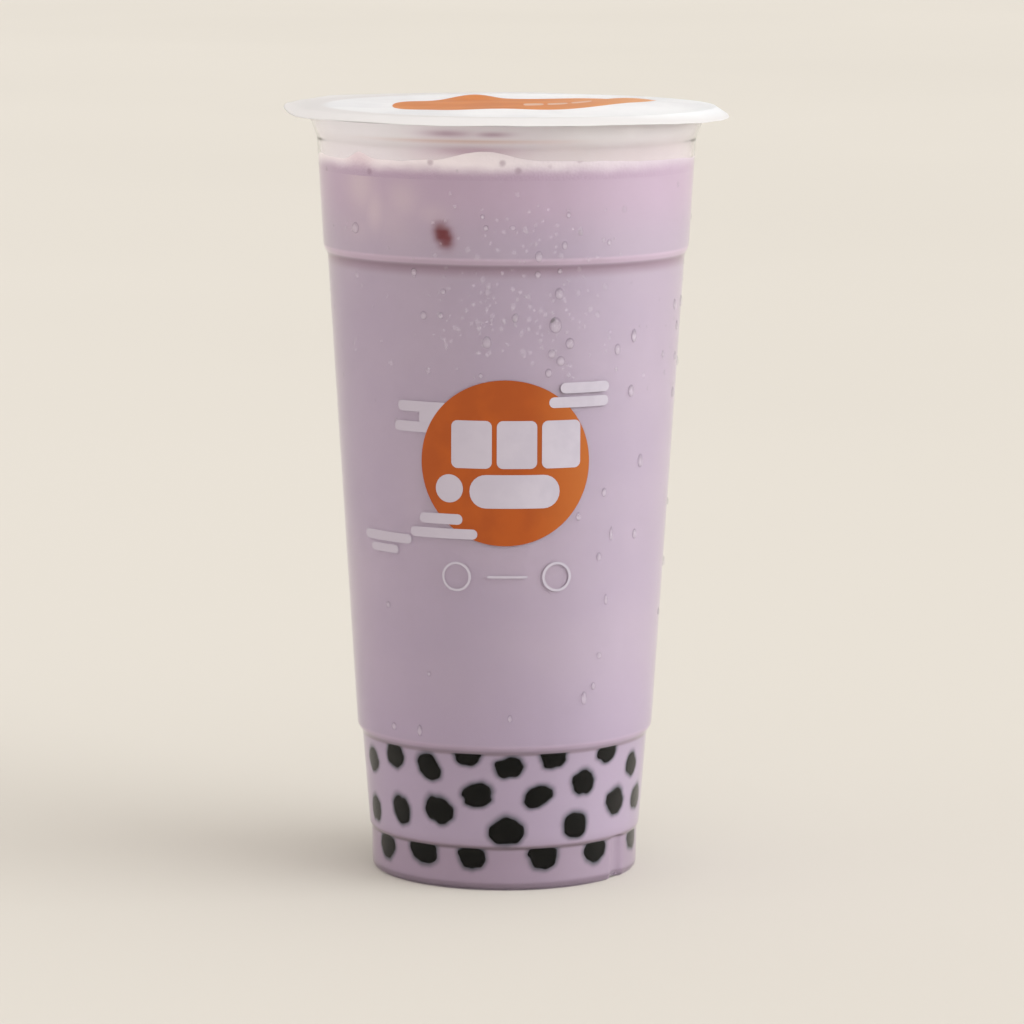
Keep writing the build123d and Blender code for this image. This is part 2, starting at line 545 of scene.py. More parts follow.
pearl_material, tree, shader = new_material("black_tapioca", Roughness=0.4, Specular_IOR_Level=0.05)
colour_with(tree, shader, clouded(tree, 420.0, srgb(4, 4, 3), srgb(12, 11, 9)))
add_piece("tapioca_pearls", pearl_mesh, pearl_material, "tapioca")

# -------------------- milk tea
# Taro milk tea fills the cup. It is opaque, so a pearl shows only where the milk in front of
# it is thin: black where it touches the wall, and a grey fringe where it curves away.
milk_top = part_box("taro_milk_tea")[1][2]
milk_veil = 0.0010
milk_segments = 440
pearl_zone_top = 0.036
fine_spacing, coarse_spacing = 0.0005, 0.0015
sharp_edge = math.radians(50)
step_margin = 0.0001


def divided(line, spacing_at):
    """The line with points added, so that none is further from the next than spacing_at its height."""
    finer = [line[0]]
    for start, end in zip(line, line[1:]):
        steps = math.ceil(math.dist(start, end) / spacing_at((start[1] + end[1]) / 2))
        for i in range(1, steps + 1):
            finer.append(tuple(Vector(start).lerp(Vector(end), i / steps)))
    return finer


def milk_spacing(height):
    """How close together the rings of the milk's skin are: closer where pearls show."""
    return fine_spacing if height < pearl_zone_top else coarse_spacing


milk_line = [point for point in inner_line(wall - milk_bite) if point[1] < milk_top]
milk_line = rounded([*milk_line, (milk_radius(milk_top), milk_top)], step_round)
milk_floor = [point for point in milk_line if point[0] <= panel_radius]
milk_line = milk_floor + divided(milk_line[len(milk_floor):], milk_spacing)
milk_line += [(milk_radius(milk_top) * share, milk_top) for share in (0.97, 0.5, 0)]
milk_mesh = lathe("milk_tea", milk_line, milk_segments, flute_press)
milk_mesh.set_sharp_from_angle(angle=sharp_edge)

# Ice and lumps that hang just behind the wall: bearing, height, half width, half height, strength.
ice_shapes = [
    (-50, 0.1600, 0.0050, 0.0060, 0.80),
    (-44, 0.1545, 0.0030, 0.0050, 0.75),
    (-33, 0.1575, 0.0042, 0.0045, 0.60),
    (-37, 0.1530, 0.0060, 0.0060, 0.35),
    (-23, 0.1545, 0.0040, 0.0020, 0.45),
    (-52, 0.1500, 0.0060, 0.0030, 0.30),
    (118, 0.1560, 0.0080, 0.0090, 0.60),
    (160, 0.1540, 0.0090, 0.0080, 0.55),
    (212, 0.1575, 0.0070, 0.0060, 0.50),
]
bean_bearing, bean_tilt = math.radians(-19.3), math.radians(32.0)
bean_height = 0.1497
bean_half_width, bean_half_height = 0.0019, 0.0028
bean_core, bean_blur = 0.55, 0.30


def skin_of(mesh):
    """The height, the distance from the axis and the bearing of every point of a mesh."""
    points = np.array([vertex.co for vertex in mesh.vertices])
    return points[:, 2], np.hypot(points[:, 0], points[:, 1]), np.arctan2(points[:, 0], -points[:, 1])


def spot_parts(skin, bearing, height, half_width, half_height, tilt=0.0):
    """Each point's place in a tilted spot, by its width and by its height, where 1 is at the edge."""
    heights, reach, turn = skin
    across = ((turn - bearing + math.pi) % TURN - math.pi) * reach
    up = heights - height
    sideways = across * math.cos(tilt) + up * math.sin(tilt)
    lengthways = up * math.cos(tilt) - across * math.sin(tilt)
    return sideways / half_width, lengthways / half_height


def soft_spot(skin, degrees, height, half_width, half_height):
    """A soft spot on the points of a mesh, 1 in its middle."""
    across, up = spot_parts(skin, math.radians(degrees), height, half_width, half_height)
    return np.exp(-(across**2) - up**2)


def paint(mesh, layer, shades):
    """Stores a colour for each point of a mesh: a row of red, green and blue each."""
    rows = np.ones((len(mesh.vertices), 4), np.float32)
    rows[:, :3] = shades
    mesh.color_attributes.new(layer, "FLOAT_COLOR", "POINT").data.foreach_set("color", rows.ravel())


def painted(tree, layer):
    """The red, green and blue that were painted on a mesh."""
    colour = node(tree, "ShaderNodeVertexColor", layer_name=layer).outputs["Color"]
    return node(tree, "ShaderNodeSeparateColor", {0: colour}).outputs


skin = skin_of(milk_mesh)
heights, reach, _ = skin
fringe, ice = np.zeros((2, len(heights)))
for bearing, height, sides, tilt, lobes in pearl_shapes:
    draft, band_top = band_of(height)
    across, up = spot_parts(skin, bearing, height, *sides, tilt)
    spot = np.hypot(across, up) / lobe_factor(lobes, np.arctan2(up, across))
    bulge = pearl_radius * (np.sqrt(np.clip(1 - spot**2, 0, None)) - pearl_press)
    pearl_reach = milk_radius(height) + np.minimum(bulge, draft * (heights - height))
    seen = (spot < 1) & (heights < band_top + step_margin)
    milk_in_front = np.where(seen, np.clip(reach - pearl_reach, 0, None), 1)
    fringe = np.maximum(fringe, np.exp(-milk_in_front / milk_veil))
for *shape, strength in ice_shapes:
    ice = np.maximum(ice, strength * soft_spot(skin, *shape))
spot = np.hypot(*spot_parts(skin, bean_bearing, bean_height, bean_half_width, bean_half_height, bean_tilt))
bean = np.exp(-np.clip(spot - bean_core, 0, None) ** 2 / bean_blur)
marks = np.stack([fringe, ice, bean], axis=1)
marks[reach < foot_radius * 0.9] = 0
paint(milk_mesh, "veil", marks)

# Where a height lies between two levels, from 0 to 1, with a ragged edge.
level_fade, given, out = new_group("level_fade", {"From": 0.0, "To": 1.0, "Ragged": 0.0})
place = place_in(level_fade)
rags = maths(level_fade, "SUBTRACT", soft_noise(level_fade, place, 160.0, 2.0), 0.5)
swing = maths(level_fade, "MULTIPLY", rags, given["Ragged"])
level = maths(level_fade, "ADD", along(level_fade, "Z", place), swing)
level_fade.links.new(ramp(level_fade, level, given["From"], given["To"], kind="SMOOTHSTEP"), out)


def fading(tree, start, end, rags=0.0):
    """The level_fade group in tree: 0 below start, 1 above end."""
    return grouped(tree, level_fade, From=start, To=end, Ragged=rags)


def between(tree, start, full, ending, gone):
    """A band of heights: rises from start to full, and falls from ending to gone."""
    return maths(tree, "MULTIPLY", fading(tree, start, full), fading(tree, gone, ending))


bean_colour = srgb(112, 34, 44)
milk_colour, milk_deep = srgb(180, 164, 180), srgb(175, 159, 177)
# The milk's colour among pearls, in the foot and under the foam, and the heights it fades between.
settled_colour, settled_levels = srgb(173, 156, 176), (0.030, 0.060)
foot_colour, foot_levels = srgb(159, 140, 158), (0.008, 0.013)
rosy_colour, rosy_levels = srgb(188, 166, 184), (0.145, 0.160)
# Each step from the foot up: its ledge's painted light, the painted shade in the crease under it, and that
# shade's fade.
ring_painted_light = [
    (srgb(184, 164, 184), srgb(136, 118, 130), 0.0008),
    (srgb(184, 164, 184), srgb(156, 138, 152), 0.0006),
    (srgb(200, 179, 196), srgb(157, 134, 149), 0.0026),
]
crease_lip = 0.0006


def milk_tint(tree):
    """The milk's colour, clouded, darker where settled and in the foot, rosier under the foam; painted light
    on ledges, painted shade in creases.
    """
    tint = clouded(tree, 32.0, milk_colour, milk_deep, High=0.7)
    tint = mixed(tree, fading(tree, *settled_levels), settled_colour, tint)
    tint = mixed(tree, fading(tree, *foot_levels), foot_colour, tint)
    tint = mixed(tree, fading(tree, *rosy_levels), tint, rosy_colour)
    rings = zip(wall_corners[0:-1:2], wall_corners[1:-1:2], ring_painted_light)
    for (_, low), (_, high), (ledge_light_colour, crease_shade_colour, fade) in rings:
        # Painted light on the ledge, and painted shade in the crease below it.
        ledge_light = between(tree, low + crease_lip, low + 2 * crease_lip, high, high + crease_lip)
        tint = mixed(tree, ledge_light, tint, ledge_light_colour)
        crease_shade = between(tree, low - fade, low, low + crease_lip / 2, low + 2 * crease_lip)
        tint = mixed(tree, crease_shade, tint, crease_shade_colour)
    return tint


milk_material, tree, shader = new_material("taro_milk", Roughness=0.42, Specular_IOR_Level=0.6)
tint = milk_tint(tree)
spots = painted(tree, "veil")
tint = mixed(tree, spots["Green"], tint, srgb(206, 188, 194))
tint = mixed(tree, spots["Blue"], tint, bean_colour)
tint = mixed(tree, spots["Red"], tint, srgb(50, 56, 66))
colour_with(tree, shader, tint)
add_piece("taro_milk_tea_body", milk_mesh, milk_material, "milk_tea", "taro_milk_tea")

# -------------------- bean and ice
# A soft red bean hangs in the milk against the wall, and so does a lump of ice, wet with milk,
# whose corner lifts the foam. Another lump is at the back.
bean_depth, bean_thickness = 0.0019, 0.90
centre = bearing_point(bean_bearing, milk_radius(bean_height) - bean_depth, bean_height)
out_way, side_way, up_way = ways_at(bean_bearing, bean_tilt)
verts = []
for out_part, side_part, up_part in ball_points:
    point = centre + out_way * out_part * bean_thickness * bean_depth
    verts.append(point + side_way * side_part * bean_half_width + up_way * up_part * bean_half_height)
bean_mesh = new_mesh("red_bean", verts, ball_faces)
bean_material, _, _ = new_material("red_bean", Roughness=0.5, Base_Color=bean_colour)
add_piece("red_bean", bean_mesh, bean_material, "sunk_bits")

# Bearing, depth inside the milk's skin, height of the middle, half size and twist of each lump.
ice_lumps = [(-47, 0.0085, 0.1602, 0.0070, 25), (150, 0.0120, 0.1590, 0.0080, 50)]
ice_roundness, ice_lean = 4.0, math.radians(14)
verts, faces = [], []
for bearing, depth, height, half_size, twist in ice_lumps:
    faces += shifted(ball_faces, len(verts))
    centre = bearing_point(math.radians(bearing), milk_radius(height) - depth, height)
    turned = Matrix.Rotation(math.radians(twist), 3, "Z") @ Matrix.Rotation(ice_lean, 3, "X")
    for point in ball_points:
        square = sum(abs(part) ** ice_roundness for part in point) ** (-1 / ice_roundness)
        verts.append(centre + turned @ (Vector(point) * square * half_size))
ice_mesh = new_mesh("ice_lumps", verts, faces)
ice_material, _, _ = new_material("milky_ice", Roughness=0.25, Base_Color=srgb(222, 200, 208))
add_piece("ice_lumps", ice_mesh, ice_material, "ice")

# -------------------- milk foam
# A thin head of fine milk foam. It clings to the wall in a low rim, lumps up against it in
# front, where a corner of ice lifts it too, and holds a few larger bubbles.
foam_level = 0.1642
foam_skirt, foam_poke = 0.0002, 0.00001
foam_climb, foam_climb_width = 0.0021, 0.0045
foam_segments, skirt_steps = 300, 6
lump_depth = 0.008
froth, fine_froth = 0.00040, 0.00015

# Bearing, rise and width of its lumps against the wall.
foam_lumps = [
    (-6.5, 0.0023, 0.0072),
    (-50.0, 0.0016, 0.0034),
    (-77.0, 0.0008, 0.0050),
    (140.0, 0.0015, 0.0090),
]


def foam_height(bearing, radius):
    """Height of the foam's top: level in the middle, higher at the wall and at its lumps."""
    edge = milk_radius(foam_level)
    near_wall = max(0, 1 - (edge - radius) / foam_climb_width)
    front = 0.5 + 0.5 * math.cos(bearing)
    height = foam_level + near_wall**2 * foam_climb * (0.1 + 0.9 * front**2)
    for lump_bearing, rise, width in foam_lumps:
        away = (bearing - math.radians(lump_bearing) + math.pi) % TURN - math.pi
        height += rise * math.exp(-((away * edge / width) ** 2) - ((edge - radius) / lump_depth) ** 2)
    spot = bearing_point(bearing, radius, 0) * 120
    return height + froth * noise.noise(spot) + fine_froth * noise.noise(spot * 3)


foam_bottom = milk_top - foam_skirt
shares = [0.0, 0.15, 0.3, 0.45, 0.58, 0.68, 0.76, 0.82, 0.87, 0.905, 0.93, 0.95, 0.97, 0.985, 1.0]
verts = []
for share in shares:
    for i in range(foam_segments if share else 1):
        bearing = TURN * i / foam_segments
        height = foam_height(bearing, share * milk_radius(foam_level))
        verts.append(bearing_point(bearing, share * milk_radius(height), height))
wall_ring = verts[-foam_segments:]
for step in range(1, skirt_steps + 1):
    for i, (_, _, top) in enumerate(wall_ring):
        height = top + (foam_bottom - top) * step / skirt_steps
        verts.append(bearing_point(TURN * i / foam_segments, milk_radius(height) + foam_poke, height))
faces = disc_faces(len(shares) - 1 + skirt_steps, foam_segments)
faces.append(tuple(range(len(verts) - 1, len(verts) - 1 - foam_segments, -1)))
foam_mesh = new_mesh("milk_foam", verts, faces)
foam_mesh.set_sharp_from_angle(angle=sharp_edge)


def vector_maths(tree, operation, first, second=(0, 0, 0)):
    """One sum on places: the node's outputs, Vector and Value."""
    return node(tree, "ShaderNodeVectorMath", {0: first, 1: second}, operation=operation).outputs


foam_material, tree, shader = new_material("milk_foam", Roughness=0.7, Specular_IOR_Level=0.2)
place = place_in(tree)
foam_tint = clouded(tree, 240.0, srgb(253, 245, 245), srgb(247, 238, 239), Low=0.2, High=0.8)
# Painted shade: the foam is darkened towards the right, where the light from the right is strongest.
painted_shading_right = ramp(tree, along(tree, "X", place), -0.01, 0.045, high=0.8)
foam_tint = mixed(tree, painted_shading_right, foam_tint, srgb(194, 180, 192))
# The corner of ice shows rosy through it.
corner = bearing_point(math.radians(-50), milk_radius(foam_level), 0.1640)
corner_gap = vector_maths(tree, "DISTANCE", place, corner)["Value"]
foam_tint = mixed(tree, ramp(tree, corner_gap, 0.0060, 0.0020, high=0.45), foam_tint, srgb(208, 180, 190))
tint = mixed(tree, fading(tree, 0.1626, 0.1660, 0.0014), milk_tint(tree), foam_tint)
# A few of the cells are bubbles: a dark mauve spot where the cell is picked.
bubbles = node(tree, "ShaderNodeTexVoronoi", {"Vector": place, "Scale": 300.0}).outputs
pick = node(tree, "ShaderNodeSeparateColor", {0: bubbles["Color"]}).outputs["Red"]
bubble = ramp(tree, bubbles["Distance"], 0.30, 0.12, high=0.45)
bubble = maths(tree, "MULTIPLY", maths(tree, "GREATER_THAN", pick, 0.72), bubble)
tint = mixed(tree, bubble, tint, srgb(150, 124, 140))
cells = node(tree, "ShaderNodeTexVoronoi", {"Vector": place, "Scale": 1400.0})
raise_bumps(tree, shader, cells.outputs["Distance"], 0.15, 0.0003)
colour_with(tree, shader, tint)
add_piece("milk_foam_head", foam_mesh, foam_material, "milk_foam", "milk_foam")

# -------------------- fog over the foam
# The inside of the wall over the foam is fogged with fine droplets and traces of milk. The drink
# and the print mirrored in it are painted on as soft streaks, with a painted gleam.
fog_gap = 0.00003
fog_low, fog_high = foam_level, neck_top - 0.0002
fog_segments, fog_rings = 360, 30

# The painted reflections as streaks, and a painted gleam: bearing, height, half width, half height,
# then how mauve, how warm and how bright.
fog_painted_reflections = [
    (-17, 0.1724, 0.0055, 0.0008, 0.8, 0, 0),
    (-4, 0.1723, 0.0040, 0.0006, 0.8, 0, 0),
    (-10, 0.1685, 0.0100, 0.0012, 0.7, 0, 0),
    (-12, 0.1707, 0.0180, 0.0004, 0, 0.7, 0),
    (39, 0.1727, 0.0026, 0.0013, 0, 0, 1.0),
]
fog_heights = np.linspace(fog_low, fog_high, fog_rings)
fog_line = [(radius_at(inside[4:], height) - fog_gap, float(height)) for height in fog_heights]
fog_mesh = lathe("headspace_fog", fog_line, fog_segments)
skin = skin_of(fog_mesh)
painted_streaks = np.zeros((len(fog_mesh.vertices), 3))
for *shape, mauve, warm, bright in fog_painted_reflections:
    painted_streaks = np.maximum(painted_streaks, soft_spot(skin, *shape)[:, None] * np.array([mauve, warm, bright]))
paint(fog_mesh, "painted_streaks", painted_streaks)

fog_material, tree, shader = new_material("milky_fog", Roughness=0.7, Alpha=0.85, Specular_IOR_Level=0.1)
sideways = along(tree, "X", place_in(tree))
# Its colour from left to right: the position across and the colour there. It darkens at the right as painted
# shade against the stronger light there.
fog_colours = [
    (-0.024, srgb(255, 254, 255)),
    (-0.018, srgb(255, 250, 254)),
    (0.004, srgb(255, 251, 255)),
    (0.017, srgb(255, 254, 254)),
    (0.036, srgb(244, 241, 241)),
]
tint = fog_colours[0][1]
for (start, _), (end, colour) in zip(fog_colours, fog_colours[1:]):
    tint = mixed(tree, ramp(tree, sideways, start, end), tint, colour)
# Painted shade: the fog is darkened low down on the right, against the brighter light there.
painted_lower_right_shade = maths(tree, "MULTIPLY", fading(tree, 0.1718, 0.1684), ramp(tree, sideways, 0, 0.03, 0.4, 0.9))
tint = mixed(tree, painted_lower_right_shade, tint, srgb(204, 194, 194))
spots = painted(tree, "painted_streaks")
tint = mixed(tree, spots["Red"], tint, srgb(190, 156, 178))
tint = mixed(tree, spots["Green"], tint, srgb(226, 190, 170))
tint = mixed(tree, spots["Blue"], tint, srgb(255, 253, 252))
colour_with(tree, shader, tint)
add_piece("headspace_fog", fog_mesh, fog_material, "milk_foam")

# -------------------- seal film
# A printed plastic film, welded to the flange. It is drawn tight over the mouth but keeps the
# puckers of the hot press, and its free margin waves and droops past the rim.
film_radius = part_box("seal_film")[1][0]
film_thickness = 0.00012
film_dome, film_ripple = 0.0006, 0.0001
weld_height, weld_knurl, weld_teeth = 0.00004, 0.00003, 60
margin_wave, edge_fray = 0.0003, 0.004
film_segments = 360

# Puckers of the film over the mouth: x, y, rise and width.
puckers = [
    (-0.0073, 0.0249, 0.0013, 0.0060),
    (-0.0174, 0.0199, -0.0006, 0.0100),
    (0.0018, 0.0288, -0.0008, 0.0166),
    (-0.0226, -0.0063, -0.0008, 0.0142),
    (0.0294, -0.0056, 0.0014, 0.0115),
    (0.0001, -0.0280, 0.0007, 0.0095),
    (0.0252, -0.0212, 0.0015, 0.0134),
]
# How far the free margin's edge hangs, by angle from the right, through the back.
margin_angles = (-180, -160, -145, -90, -55, -28, 0, 30, 90, 150, 180)
margin_drops = (0.0002, 0.0016, 0.0018, 0.00145, 0.0017, 0.0024, 0.0021, 0.0008, 0.0, -0.0002, 0.0002)
mouth = neck_radius - wall


def round_noise(angle, tightness, row):
    """Smooth noise that joins up round the cup. A greater tightness gives shorter waves."""
    return noise.noise(Vector((math.cos(angle) * tightness, math.sin(angle) * tightness, row)))


def film_height(angle, radius):
    """Height of the film's underside above the flange's top."""
    x, y = radius * math.cos(angle), radius * math.sin(angle)
    if radius < mouth:
        share = radius / mouth
        rise = film_dome * (1 - share**2)
        rise += film_ripple * noise.noise(Vector((x, y, 0)) * 90 + Vector((3.1, 0.7, 0))) * (1 - share**4)
        for pucker_x, pucker_y, lift, width in puckers:
            rise += lift * math.exp(-((x - pucker_x) ** 2 + (y - pucker_y) ** 2) / width**2) * (1 - share**6)
        return rise
    if radius < rim_radius:
        return weld_height + weld_knurl * math.sin(weld_teeth * angle)
    share = (radius - rim_radius) / (film_radius - rim_radius)
    turned = math.degrees((angle + math.pi) % TURN - math.pi)
    drop = float(np.interp(turned, margin_angles, margin_drops))
    wave = round_noise(angle, 2.4, 5.0) + 0.5 * round_noise(angle, 6, 9.0)
    return weld_height + share * (margin_wave * wave - drop)


radii = [*np.linspace(0, mouth, 46), *np.linspace(neck_radius, rim_radius, 6)]
radii += list(np.linspace(rim_radius + 0.0003, film_radius, 9))
verts = []
for lift in (film_thickness, 0):
    for radius in radii:
        for i in range(film_segments if radius > 0 else 1):
            angle = TURN * i / film_segments
            fray = edge_fray * round_noise(angle, 9, 1.0) if radius == radii[-1] else 0
            reach = radius * (1 + fray)
            height = cup_top + film_height(angle, radius) + lift
            verts.append((reach * math.cos(angle), reach * math.sin(angle), height))
upper_faces = disc_faces(len(radii) - 1, film_segments)
under = len(verts) // 2
edge = under - film_segments
faces = upper_faces + [face[::-1] for face in shifted(upper_faces, under)]
for i in range(film_segments):
    j = (i + 1) % film_segments
    faces.append((edge + i, under + edge + i, under + edge + j, edge + j))
film_mesh = new_mesh("seal_film", verts, faces)

# The print is a disc, with three pale blocks in a row on it: squares with well rounded corners.
print_centre, print_radius, print_edge = (0.0041, 0, 0), 0.0302, 0.0002
block_row = (0.0115, -0.0090, 0)
block_pitch, block_half_width, block_half_depth = 0.0054, 0.0022, 0.0055
film_glow = 0.40

film_material, tree, shader = new_material("white_film", Roughness=0.35, Specular_IOR_Level=0.3)
place = place_in(tree)
flat = vector_maths(tree, "MULTIPLY", place, (1, 1, 0))["Vector"]
gap = vector_maths(tree, "DISTANCE", flat, print_centre)["Value"]
paper = clouded(tree, 60.0, srgb(248, 250, 252), srgb(241, 243, 246))
free = ramp(tree, gap, rim_radius - 0.003, rim_radius - 0.001)
paper = mixed(tree, free, paper, srgb(235, 234, 235))
ink = clouded(tree, 90.0, srgb(231, 151, 62), srgb(223, 139, 52))
# Painted light: the print is paler towards the right, where the light from the right falls.
painted_shading_right = ramp(tree, along(tree, "X", place), 0.006, 0.030, high=0.8)
ink = mixed(tree, painted_shading_right, ink, srgb(238, 188, 136))


def fourth_power(tree, value, half):
    """The fourth power of value over half, of which two added give a rounded square."""
    return maths(tree, "POWER", maths(tree, "DIVIDE", value, half), 4.0)


from_row = vector_maths(tree, "SUBTRACT", place, block_row)["Vector"]
from_row = vector_maths(tree, "ABSOLUTE", from_row)["Vector"]
across, deep = along(tree, "X", from_row), along(tree, "Y", from_row)
column = fourth_power(tree, maths(tree, "PINGPONG", across, block_pitch / 2), block_half_width)
block_gap = maths(tree, "ADD", column, fourth_power(tree, deep, block_half_depth))
in_row = maths(tree, "LESS_THAN", across, 1.5 * block_pitch)
blocks = maths(tree, "MULTIPLY", ramp(tree, block_gap, 1.4, 0.8), in_row)
ink = mixed(tree, blocks, ink, srgb(238, 204, 178))
tint = mixed(tree, ramp(tree, gap, print_radius, print_radius - print_edge), paper, ink)
colour_with(tree, shader, tint)
glow = node(tree, "ShaderNodeBsdfTranslucent", {"Color": tint})
blend_shaders(tree, film_glow, shader, glow)
add_piece("seal_film_lid", film_mesh, film_material, "seal_film", "seal_film")

# -------------------- print on the cup
# Flat ink on the outside of the wall: an orange disc with pale blocks, rounded pale bars
# beside it, and two small rings with a line between them below.
ink_lift = 0.00004
disc_height, disc_half_width, disc_half_height = 0.0989, 0.0195, 0.01875
outline_spacing = 0.0007
corner_steps = 6
disc_rings, mark_rings = 18, 5


def on_wall(across, height, lift):
    """The point that far round the wall from the front, at a height and a lift off the wall."""
    radius = radius_at(wall_corners, height)
    return bearing_point(across / radius, radius + lift, height)


def add_patch(verts, faces, outline, lift, rings):
    """A flat patch on the wall, filled from its middle to its outline of (across, height) points."""
    outline = divided([*outline, outline[0]], lambda height: outline_spacing)[:-1]
    middle = Vector((sum(p[0] for p in outline), sum(p[1] for p in outline))) / len(outline)
    faces += shifted(disc_faces(rings, len(outline)), len(verts))
    verts.append(on_wall(*middle, lift))
    for ring in range(1, rings + 1):
        for point in outline:
            verts.append(on_wall(*middle.lerp(Vector(point), ring / rings), lift))


def oval(across, height, half_width, half_height, points=96):
    """An ellipse, as an outline."""
    turns = [TURN * i / points for i in range(points)]
    return [(across + half_width * math.cos(t), height + half_height * math.sin(t)) for t in turns]


def block(across, height, width, tall, corner, slope=0.0):
    """A rectangle with rounded corners, as an outline. slope lifts its right end."""
    outline = []
    for quarter, (sx, sy) in enumerate(((1, 1), (-1, 1), (-1, -1), (1, -1))):
        for i in range(corner_steps + 1):
            angle = TURN / 4 * (quarter + i / corner_steps)
            x = sx * (width / 2 - corner) + corner * math.cos(angle)
            y = sy * (tall / 2 - corner) + corner * math.sin(angle)
            outline.append((across + x, height + y + x * slope))
    return outline


def pill(left, right, height, thickness):
    """A bar with round ends, from left to right, as an outline."""
    return block((left + right) / 2, height, right - left, thickness, thickness * 0.49)


def ink_piece(name, outlines, lift, rings, material, slot):
    """All the patches of one ink as one piece."""
    verts, faces = [], []
    for outline in outlines:
        add_patch(verts, faces, outline, lift, rings)
    add_piece(name, new_mesh(name, verts, faces), material, slot)


orange_material, tree, shader = new_material("orange_ink", Roughness=0.42, Specular_IOR_Level=0.38)
tint = clouded(tree, 140.0, srgb(165, 74, 0), srgb(156, 68, 0))
# Painted sheen: the disc is lighter towards its right, where the light from the right falls.
tint = mixed(tree, ramp(tree, along(tree, "X", place_in(tree)), 0.005, 0.019), tint, srgb(176, 94, 26))
colour_with(tree, shader, tint)
disc = oval(0.0, disc_height, disc_half_width, disc_half_height)
ink_piece("orange_print", [disc], ink_lift, disc_rings, orange_material, "print_orange")

pale_material, tree, shader = new_material("pale_ink", Roughness=0.45, Specular_IOR_Level=0.25)
tint = clouded(tree, 200.0, srgb(192, 185, 198), srgb(185, 178, 192))
# Painted shade: the pale ink is darker towards the left, away from the light.
tint = mixed(tree, ramp(tree, along(tree, "X", place_in(tree)), -0.025, 0.012), srgb(177, 168, 181), tint)
colour_with(tree, shader, tint)
pale_marks = [
    block(-0.0076, 0.1031, 0.0092, 0.0108, 0.0014),
    block(0.0026, 0.1031, 0.0090, 0.0108, 0.0014),
    block(0.0127, 0.1031, 0.0090, 0.0108, 0.0014),
    pill(-0.0080, 0.0123, 0.0925, 0.0076),
    oval(-0.0127, 0.0930, 0.0032, 0.0032, 40),
    pill(0.0124, 0.0246, 0.1157, 0.0024),
    pill(0.0098, 0.0244, 0.1125, 0.0024),
    pill(-0.0200, -0.0096, 0.0860, 0.0024),
    pill(-0.0224, -0.0062, 0.0827, 0.0023),
    pill(-0.0374, -0.0222, 0.0807, 0.0022),
    pill(-0.0350, -0.0260, 0.0780, 0.0019),
    pill(-0.0040, 0.0051, 0.0731, 0.0006),
]
under_marks = [
    pill(-0.0258, -0.0130, 0.1111, 0.0024),
    pill(-0.0268, -0.0150, 0.1065, 0.0024),
    block(-0.0170, 0.1088, 0.0062, 0.0066, 0.0010),
]
ink_piece("pale_print", pale_marks, 2 * ink_lift, mark_rings, pale_material, "print_white")
ink_piece("pale_print_under", under_marks, 0.5 * ink_lift, mark_rings, pale_material, "print_white")

# The two rings below the disc.
ring_places, ring_height = (-0.0110, 0.0118), 0.0730
ring_radius, ring_stroke, ring_points = 0.0034, 0.0006, 48
verts, faces = [], []
for across in ring_places:
    first = len(verts)
    for radius in (ring_radius, ring_radius - ring_stroke):
        circle = oval(across, ring_height, radius, radius, ring_points)
        verts += [on_wall(*point, 2 * ink_lift) for point in circle]
    for i in range(ring_points):
        j = (i + 1) % ring_points
        faces.append((first + i, first + j, first + ring_points + j, first + ring_points + i))
add_piece("pale_rings", new_mesh("pale_rings", verts, faces), pale_material, "print_white")

# -------------------- condensation
# Water from the air beads on the cold wall: fine mist over the upper half, larger drops
# where it has run together, and a few that have begun to slide.
drop_fullness, drop_sink = 0.22, 0.00005
drop_sag, drop_narrowing = 0.35, 0.25
bead_middle, bead_contrast, bead_glint_angle = 0.4, 0.5, math.radians(75)
side_drops = 60

# The larger drops of the front: bearing, height, width, length.
large_drops = [
    (-30, 0.1413, 0.0016, 0.0019),
    (-20, 0.1372, 0.0013, 0.0014),
    (-27, 0.1317, 0.0017, 0.0020),
    (-21, 0.1318, 0.0013, 0.0016),
    (3, 0.1316, 0.0016, 0.0021),
    (-6, 0.1261, 0.0021, 0.0029),
    (17, 0.1369, 0.0021, 0.0027),
    (16, 0.1299, 0.0030, 0.0037),
    (21, 0.1257, 0.0022, 0.0026),
    (15, 0.1235, 0.0019, 0.0021),
    (18, 0.1218, 0.0021, 0.0023),
    (14, 0.1192, 0.0016, 0.0021),
    (10, 0.1412, 0.0015, 0.0017),
    (10, 0.1453, 0.0018, 0.0026),
    (17, 0.1419, 0.0012, 0.0014),
    (46, 0.1265, 0.0018, 0.0032),
    (39, 0.1237, 0.0018, 0.0027),
    (46, 0.1140, 0.0020, 0.0029),
    (53, 0.0977, 0.0020, 0.0032),
    (52, 0.0810, 0.0017, 0.0024),
    (35, 0.0768, 0.0014, 0.0021),
    (36, 0.0915, 0.0014, 0.0021),
    (26, 0.0864, 0.0013, 0.0021),
    (40, 0.0819, 0.0011, 0.0034),
    (39, 0.0668, 0.0011, 0.0026),
    (-47, 0.0649, 0.0014, 0.0016),
    (-8, 0.1186, 0.0011, 0.0012),
    (31, 0.0445, 0.0016, 0.0032),
    (35, 0.0470, 0.0013, 0.0018),
    (37, 0.0540, 0.0013, 0.0015),
    (-34, 0.0367, 0.0015, 0.0028),
    (-29, 0.0501, 0.0010, 0.0012),
    (-47, 0.0367, 0.0016, 0.0018),
    (2, 0.0406, 0.0011, 0.0018),
    (-6, 0.1516, 0.0013, 0.0014),
    (2, 0.1517, 0.0015, 0.0012),
    (-7, 0.1541, 0.0011, 0.0011),
    (18, 0.1477, 0.0014, 0.0020),
    (33, 0.1480, 0.0011, 0.0014),
    (19, 0.1544, 0.0010, 0.0015),
    (-53, 0.1502, 0.0026, 0.0026),
]

dice = random.Random(23)


